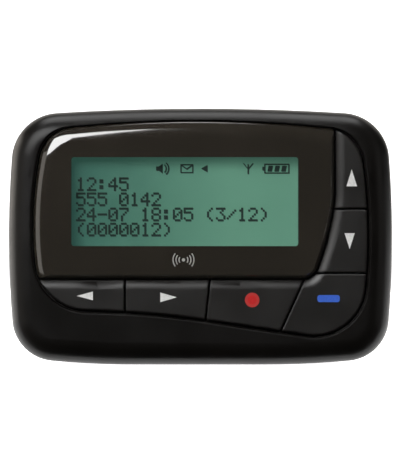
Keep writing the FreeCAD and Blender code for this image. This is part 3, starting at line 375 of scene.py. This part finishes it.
def ink(name, colour, roughness=0.45):
    """Pad-printed ink: nearly flat, a little uneven."""
    s = Shader(name)
    uneven = s.noise(0.5, 3.0)
    s.link(s.shades(uneven, tint(colour, 0.9), tint(colour, 1.06)), s.bsdf.inputs["Base Color"])
    s.link(s.spread(uneven, roughness - 0.06, roughness + 0.06), s.bsdf.inputs["Roughness"])
    return s.material


WARM_BLACK = (0.0042, 0.0036, 0.0031)
KEY_BLACK = (0.0072, 0.0062, 0.0054)
FINISHES = {
    "casing_plastic": lambda n: moulded(
        n, WARM_BLACK, roughness=0.34, grain=0.25, depth=0.010, wear=0.30, specular=0.25, edge=0.2
    ),
    "clip_plastic": lambda n: moulded(n, (0.012, 0.0115, 0.0115), 0.42, grain=0.3),
    "lock_plastic": lambda n: moulded(n, (0.03, 0.03, 0.031), 0.45),
    "key_plastic": lambda n: moulded(
        n, KEY_BLACK, roughness=0.38, grain=0.16, depth=0.005, wear=0.0, specular=0.60, edge=0.5
    ),
    "holder_plastic": lambda n: moulded(n, (0.5, 0.5, 0.47), 0.5),
    "connector_plastic": lambda n: moulded(n, (0.45, 0.40, 0.28), 0.5),
    "sounder_plastic": lambda n: moulded(n, (0.015, 0.015, 0.015), 0.5),
    "chip_black": lambda n: moulded(n, (0.02, 0.02, 0.02), 0.6, grain=0.12, depth=0.006, wear=0.15),
    "led_body": lambda n: moulded(n, (0.65, 0.65, 0.58), 0.4),
    "light_guide": lambda n: moulded(n, (0.6, 0.64, 0.62), 0.25, grain=0.5, depth=0.004, wear=0.0),
    "lens_black": lambda n: polished_black(n, (0.0245, 0.0205, 0.0150)),
    "window_clear": clear_window,
    "polariser_film": display_film,
    "lcd_glass": lambda n: see_through(n, (0.5, 0.62, 0.56), roughness=0.05, alpha=0.4),
    "reflector_film": lambda n: ink(n, (0.20, 0.40, 0.31)),
    "silicone": lambda n: rubbery(n, (0.20, 0.20, 0.20)),
    "zebra_rubber": striped_rubber,
    "foam": lambda n: foam(n, (0.02, 0.02, 0.02)),
    "tape": lambda n: ink(n, (0.015, 0.015, 0.015), 0.6),
    "label_paper": printed_label,
    "board_green": circuit_board,
    "cell_jacket": lambda n: ink(n, (0.015, 0.04, 0.13), 0.3),
    "dome_steel": lambda n: metal(n, (0.6, 0.6, 0.6), 0.25),
    "tinned_metal": lambda n: metal(n, (0.62, 0.62, 0.6), 0.35),
    "brass_parts": lambda n: metal(n, (0.66, 0.47, 0.2), 0.3),
    "antenna_metal": lambda n: metal(n, (0.62, 0.42, 0.22), 0.35),
    "motor_steel": lambda n: metal(n, (0.55, 0.55, 0.54), 0.3, ACROSS_X),
    "spring_steel": lambda n: metal(n, (0.5, 0.5, 0.49), 0.3, EVEN),
    "screw_steel": lambda n: metal(n, (0.16, 0.16, 0.165), 0.38, EVEN),
    "cell_metal": lambda n: metal(n, (0.58, 0.58, 0.57), 0.3, ACROSS_X),
}


def dress_nodes():
    """Gives every CAD node the finish of its material slot, and returns the finishes by slot."""
    made = {}
    for sub in frame["record"]["subparts"]:
        slot = sub["material_slot"]
        if slot not in made:
            made[slot] = FINISHES[slot](slot)
        for place in nodes[sub["node"]].material_slots:
            place.material = made[slot]
    return made


KEY_NAMES = ["key_left", "key_right", "key_select", "key_clear", "key_down", "key_up"]
WELD = 0.001 * MM  # points closer than this are one point


def cut_off(part, point, away):
    """Cuts a closed mesh at a plane square to the board, drops what lies beyond it and closes the cut."""
    away.y = 0
    everything = part.verts[:] + part.edges[:] + part.faces[:]
    bmesh.ops.bisect_plane(part, geom=everything, plane_co=point, plane_no=away, clear_outer=True)
    open_edges = [edge for edge in part.edges if edge.is_boundary]
    bmesh.ops.edgeloop_fill(part, edges=open_edges)


def flattening_mat(silicone):
    """The keypad mat cut into six pieces, one round each key."""
    middles = {key: (Vector(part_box(key)[0]) + Vector(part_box(key)[1])) / 2 for key in KEY_NAMES}
    for key in KEY_NAMES:
        part = bmesh.new()
        part.from_mesh(nodes["keypad_mat"].data)
        bmesh.ops.remove_doubles(part, verts=part.verts, dist=WELD)
        for other in KEY_NAMES:
            if other != key:
                cut_off(part, (middles[key] + middles[other]) / 2, middles[other] - middles[key])
        mesh = bpy.data.meshes.new("mat_under_" + key)
        part.to_mesh(mesh)
        part.free()
        mesh.materials.clear()
        mesh.materials.append(silicone)
        piece = bpy.data.objects.new(mesh.name, mesh)
        bpy.context.scene.collection.objects.link(piece)
        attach(piece, BODY)
        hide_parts("keypad_mat")
        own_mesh(piece)


# ---- Flat printed pieces --------------------------------------------------------------------------------
class Print:
    """Flat shapes in one plane that faces the viewer, gathered into one mesh. Sizes in millimetres."""

    def __init__(self, name, y):
        self.name = name
        self.y = y
        self.points = []
        self.faces = []

    def shape(self, outline):
        """One filled outline of (x, z) points, wound anticlockwise as the viewer sees it."""
        first = len(self.points)
        self.points += [(x * MM, self.y * MM, z * MM) for x, z in outline]
        self.faces.append(tuple(range(first, len(self.points))))

    def bar(self, x0, z0, x1, z1):
        self.shape([(x0, z0), (x1, z0), (x1, z1), (x0, z1)])

    def hollow_bar(self, x0, z0, x1, z1, stroke):
        """Four strokes just inside a box."""
        self.bar(x0, z0, x1, z0 + stroke)
        self.bar(x0, z1 - stroke, x1, z1)
        self.bar(x0, z0, x0 + stroke, z1)
        self.bar(x1 - stroke, z0, x1, z1)

    def rounded_bar(self, x0, z0, x1, z1, r, steps=6):
        centres = [(x1 - r, z1 - r, 0), (x0 + r, z1 - r, 90), (x0 + r, z0 + r, 180), (x1 - r, z0 + r, 270)]
        outline = []
        for cx, cz, start in centres:
            for k in range(steps + 1):
                a = math.radians(start + 90 * k / steps)
                outline.append((cx + r * math.cos(a), cz + r * math.sin(a)))
        self.shape(outline)

    def arc(self, x, z, r, width, start, end, steps=18):
        """Part of a ring, from one angle to another in degrees."""
        for k in range(steps):
            a, b = (math.radians(start + (end - start) * (k + d) / steps) for d in (0, 1))
            self.shape(
                [
                    (x + r * math.cos(a), z + r * math.sin(a)),
                    (x + (r + width) * math.cos(a), z + (r + width) * math.sin(a)),
                    (x + (r + width) * math.cos(b), z + (r + width) * math.sin(b)),
                    (x + r * math.cos(b), z + r * math.sin(b)),
                ]
            )

    def disc(self, x, z, r, steps=40):
        turns = [2 * math.pi * k / steps for k in range(steps)]
        self.shape([(x + r * math.cos(a), z + r * math.sin(a)) for a in turns])

    def place(self, material, body, slot):
        mesh = bpy.data.meshes.new(self.name)
        mesh.from_pydata(self.points, [], self.faces)
        mesh.materials.append(material)
        made = bpy.data.objects.new(self.name, mesh)
        bpy.context.scene.collection.objects.link(made)
        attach(made, body)


KEY_PRINT_Y = -10.05 - 0.012  # just in front of the keys' faces
SPOT_PRINT_Y = KEY_PRINT_Y - 0.01  # the spot is printed over the ring
ARROWS = {
    "key_left": [(-26.95, 15.15), (-23.4, 14.2), (-23.4, 16.1)],
    "key_right": [(-5.15, 14.85), (-8.75, 15.9), (-8.75, 13.8)],
    "key_up": [(32.9, 42.7), (31.75, 39.0), (34.05, 39.0)],
    "key_down": [(32.45, 25.35), (33.55, 28.8), (31.35, 28.8)],
}
SELECT_MARK = (11.25, 14.27)
RING_R = 1.58
SPOT_R = 1.0
CLEAR_BAR = (25.4, 13.8, 30.3, 15.35)
CLEAR_BAR_R = 0.55


def key_legends():
    """The arrows, the round mark and the bar that are printed on the keys."""
    white = ink("legend_grey", (0.86, 0.86, 0.84))
    for key, outline in ARROWS.items():
        legend = Print(key + "_legend", KEY_PRINT_Y)
        legend.shape(outline)
        legend.place(white, key, "key_plastic")
    ring = Print("select_ring", KEY_PRINT_Y)
    ring.disc(*SELECT_MARK, RING_R)
    ring.place(ink("legend_salmon", (0.58, 0.035, 0.03)), "key_select", "key_plastic")
    spot = Print("select_spot", SPOT_PRINT_Y)
    spot.disc(*SELECT_MARK, SPOT_R)
    spot.place(ink("legend_red", (0.64, 0.010, 0.010)), "key_select", "key_plastic")
    dash = Print("clear_bar", KEY_PRINT_Y)
    dash.rounded_bar(*CLEAR_BAR, CLEAR_BAR_R)
    dash.place(ink("legend_blue", (0.045, 0.150, 0.72)), "key_clear", "key_plastic")


LENS_PRINT_Y = -10.3 - 0.008  # just in front of the lens
SIGN_MIDDLE = (-3.7, 23.0)
SIGN_DOT_R = 0.36
SIGN_WAVES_R = (0.85, 1.5, 2.15)
SIGN_STROKE = 0.24
SIGN_SPREAD = 38  # degrees each side of level


def lens_print():
    """A plain radio-wave sign under the display."""
    sign = Print("lens_sign", LENS_PRINT_Y)
    sign.disc(*SIGN_MIDDLE, SIGN_DOT_R, 20)
    for r in SIGN_WAVES_R:
        sign.arc(*SIGN_MIDDLE, r, SIGN_STROKE, -SIGN_SPREAD, SIGN_SPREAD)
        sign.arc(*SIGN_MIDDLE, r, SIGN_STROKE, 180 - SIGN_SPREAD, 180 + SIGN_SPREAD)
    sign.place(ink("lens_ink", (0.42, 0.42, 0.41)), BODY, "lens_black")


# Dot-matrix figures, five dots wide and seven high, row by row from the top.
FONT = {
    "0": "01110 10001 10011 10101 11001 10001 01110",
    "1": "00100 01100 00100 00100 00100 00100 01110",
    "2": "01110 10001 00001 00010 00100 01000 11111",
    "3": "11111 00010 00100 00010 00001 10001 01110",
    "4": "00010 00110 01010 10010 11111 00010 00010",
    "5": "11111 10000 11110 00001 00001 10001 01110",
    "7": "11111 00001 00010 00100 01000 01000 01000",
    "8": "01110 10001 10001 01110 10001 10001 01110",
    ":": "00000 01100 01100 00000 01100 01100 00000",
    "-": "00000 00000 00000 11111 00000 00000 00000",
    "/": "00000 00001 00010 00100 01000 10000 00000",
    "(": "00010 00100 01000 01000 01000 00100 00010",
    ")": "01000 00100 00010 00010 00010 00100 01000",
    " ": "00000 00000 00000 00000 00000 00000 00000",
}
LINES = ["12:45", "555 0142", "24-07 18:05 (3/12)", "(0000012)"]
DOT_PITCH = (0.41, 0.425)
DOT_SIZE = (0.405, 0.42)
CHAR_PITCH = 2.35
LINE_PITCH = 3.3
TEXT_LEFT = -27.2
TEXT_TOP = 41.0
ICONS_LOW = 41.75
ICONS_HIGH = 44.1


def display_lines(sheet):
    """Four lines of plain figures."""
    for row, text in enumerate(LINES):
        for column, sign in enumerate(text):
            for j, dots in enumerate(FONT[sign].split()):
                for i, dot in enumerate(dots):
                    if dot == "1":
                        x = TEXT_LEFT + column * CHAR_PITCH + i * DOT_PITCH[0]
                        z = TEXT_TOP - row * LINE_PITCH - j * DOT_PITCH[1]
                        sheet.bar(x, z - DOT_SIZE[1], x + DOT_SIZE[0], z)


def display_icons(sheet):
    """Status signs along the top: sounder, message, pointer, aerial and cell."""
    z0, z1 = ICONS_LOW, ICONS_HIGH
    mid = (z0 + z1) / 2
    # Sounder
    sheet.bar(-9.7, mid - 0.45, -9.1, mid + 0.45)
    sheet.shape([(-9.1, mid - 0.45), (-8.3, z0 + 0.1), (-8.3, z1 - 0.1), (-9.1, mid + 0.45)])
    for r in (0.95, 1.5):
        sheet.arc(-8.6, mid, r, 0.28, -50, 50, 8)
    # Message
    sheet.hollow_bar(-4.4, z0 + 0.2, -1.6, z1 - 0.2, 0.22)
    sheet.shape([(-4.3, z1 - 0.5), (-3.0, mid - 0.25), (-3.0, mid + 0.05), (-4.3, z1 - 0.2)])
    sheet.shape([(-3.0, mid - 0.25), (-1.7, z1 - 0.5), (-1.7, z1 - 0.2), (-3.0, mid + 0.05)])
    # Pointer
    sheet.shape([(0.1, mid), (1.5, mid - 0.8), (1.5, mid + 0.8)])
    # Aerial
    sheet.bar(10.25, z0, 10.55, z1 - 0.2)
    sheet.shape([(10.25, mid - 0.1), (10.45, mid - 0.1), (9.5, z1), (9.2, z1)])
    sheet.shape([(10.35, mid - 0.1), (10.55, mid - 0.1), (11.6, z1), (11.3, z1)])
    # Cell with three bars
    sheet.hollow_bar(13.9, z0 + 0.1, 19.4, z1 - 0.1, 0.24)
    sheet.bar(13.5, mid - 0.4, 13.9, mid + 0.4)
    for k in range(3):
        x = 14.6 + 1.5 * k
        sheet.shape([(x, z0 + 0.55), (x + 0.95, z0 + 0.55), (x + 1.2, z1 - 0.55), (x + 0.25, z1 - 0.55)])


FIGURES_GAP = 0.022  # in front of the display's film
SHADOW_GAP = 0.012
SHADOW_SHIFT = (0.11, -0.11)


def display_contents():
    """The figures and, behind them and a little lower to the right, the shadow that they cast."""
    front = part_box("lcd_front_polariser")[0][1] / MM
    layers = [
        ("display_shadow", front - SHADOW_GAP, SHADOW_SHIFT, (0.020, 0.066, 0.054)),
        ("display_figures", front - FIGURES_GAP, (0.0, 0.0), (0.003, 0.018, 0.016)),
    ]
    for name, y, (dx, dz), colour in layers:
        sheet = Print(name, y)
        display_lines(sheet)
        display_icons(sheet)
        sheet.points = [(px + dx * MM, py, pz + dz * MM) for px, py, pz in sheet.points]
        sheet.place(ink(name, colour, 0.5), BODY, "polariser_film")


# ---- Studio ---------------------------------------------------------------------------------------------
MIDDLE = (0, 0, 0.028)
LENS_CORNER = (-0.03, 0, 0.045)
# Each light: name, place, target, size, watts and colour.
LIGHTS = [
    ("back_board", (0.0, 0.75, 0.35), MIDDLE, (1.3, 0.9), 4.0, (1.0, 0.96, 0.90)),
    ("left_board", (-0.60, 0.25, 0.12), MIDDLE, (0.5, 0.5), 2.4, (1.0, 0.93, 0.84)),
    ("left_strip", (-0.64, -0.36, 0.05), MIDDLE, (0.34, 0.45), 0.35, (1.0, 0.95, 0.88)),
    ("right_strip", (0.64, -0.36, 0.12), MIDDLE, (0.34, 0.45), 0.22, (1.0, 0.97, 0.92)),
    ("corner_box", (-0.305, -0.58, 0.388), LENS_CORNER, (0.50, 0.42), 4.6, (1, 1, 1)),
    ("top_box", (0.0, 0.0, 0.75), MIDDLE, (0.7, 0.45), 4.5, (1, 1, 1)),
]
FAR = 3.0  # how far the floor and surround reach
FLOOR_SPLIT_Y = -0.0085  # the floor in front of this isn't reflected, so the pager's faces stay dark
WALL_FOOT = -0.5


def area_light(name, place, target, size, power, colour):
    data = bpy.data.lights.new(name, "AREA")
    data.shape = "RECTANGLE"
    data.size, data.size_y = size
    data.energy = power
    data.color = colour
    made = bpy.data.objects.new(name, data)
    made.location = place
    made.rotation_euler = (Vector(target) - Vector(place)).to_track_quat("-Z", "Y").to_euler()
    bpy.context.scene.collection.objects.link(made)


def stage_sheet(name, corners, material):
    mesh = bpy.data.meshes.new(name)
    mesh.from_pydata(corners, [], [(0, 1, 2, 3)])
    mesh.materials.append(material)
    made = bpy.data.objects.new(name, mesh)
    bpy.context.scene.collection.objects.link(made)
    made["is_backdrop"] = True
    return made


def glowing(name, strength):
    """An even, matt white that gives off its own light."""
    s = Shader(name)
    s.link(s.shades(s.noise(60.0, 1.0), (0.9, 0.9, 0.9), (0.92, 0.92, 0.92)), s.bsdf.inputs["Base Color"])
    s.set(Roughness=0.9, Emission_Color=(1, 1, 1, 1), Emission_Strength=strength)
    return s.material


def studio():
    """A pale floor and surround, soft boxes above and at the sides, and a pale board behind."""
    white = glowing("studio_white", 1.1)
    corners = [(-FAR, -FAR), (FAR, -FAR), (FAR, FAR), (-FAR, FAR)]
    unseen = []  # these show as white behind the pager, but don't light it
    for name, y0, y1 in (("floor", -FAR, FLOOR_SPLIT_Y), ("floor_behind", FLOOR_SPLIT_Y, FAR)):
        sheet = stage_sheet(name, [(-FAR, y0, 0), (FAR, y0, 0), (FAR, y1, 0), (-FAR, y1, 0)], white)
        if name == "floor":
            unseen.append(sheet)
    unseen.append(stage_sheet("ceiling", [(x, y, FAR) for x, y in corners], white))
    for k in range(4):
        (ax, ay), (bx, by) = corners[k - 1], corners[k]
        wall = [(ax, ay, WALL_FOOT), (bx, by, WALL_FOOT), (bx, by, FAR), (ax, ay, FAR)]
        unseen.append(stage_sheet("surround_" + str(k), wall, white))
    for sheet in unseen:
        sheet.visible_glossy = False
        sheet.visible_diffuse = False

    world = bpy.data.worlds.new("surround")
    bpy.context.scene.world = world
    world.use_nodes = True
    back = world.node_tree.nodes["Background"]
    back.inputs["Color"].default_value = (1.0, 0.97, 0.93, 1)
    back.inputs["Strength"].default_value = 0.04

    for light in LIGHTS:
        area_light(*light)


IMAGE_WIDTH, IMAGE_HEIGHT = 401, 458
FRAMED_SHARE = 1.0462  # the width that the image shows, over the casing's width
CAMERA_DISTANCE = 0.70  # from the casing's front shoulder
SHOULDER_Y = -0.005
CAMERA_RISE = 0.0198  # above the casing's middle, over the casing's width


def camera():
    """A long lens square to the display."""
    low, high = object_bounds()
    width = high[0] - low[0]
    data = bpy.data.cameras.new("camera")
    frame_height = width * FRAMED_SHARE * IMAGE_HEIGHT / IMAGE_WIDTH
    data.lens = data.sensor_width * CAMERA_DISTANCE / frame_height
    data.clip_start = 0.01
    made = bpy.data.objects.new("camera", data)
    casing_low, casing_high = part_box("front_casing")
    casing_middle = (casing_low[2] + casing_high[2]) / 2
    made.location = (0, SHOULDER_Y - CAMERA_DISTANCE, casing_middle + CAMERA_RISE * width)
    made.rotation_euler = (math.pi / 2, 0, 0)
    bpy.context.scene.collection.objects.link(made)
    bpy.context.scene.camera = made


bpy.context.scene.view_settings.view_transform = "Standard"
flattening_mat(dress_nodes()["silicone"])
key_legends()
lens_print()
display_contents()
studio()
camera()
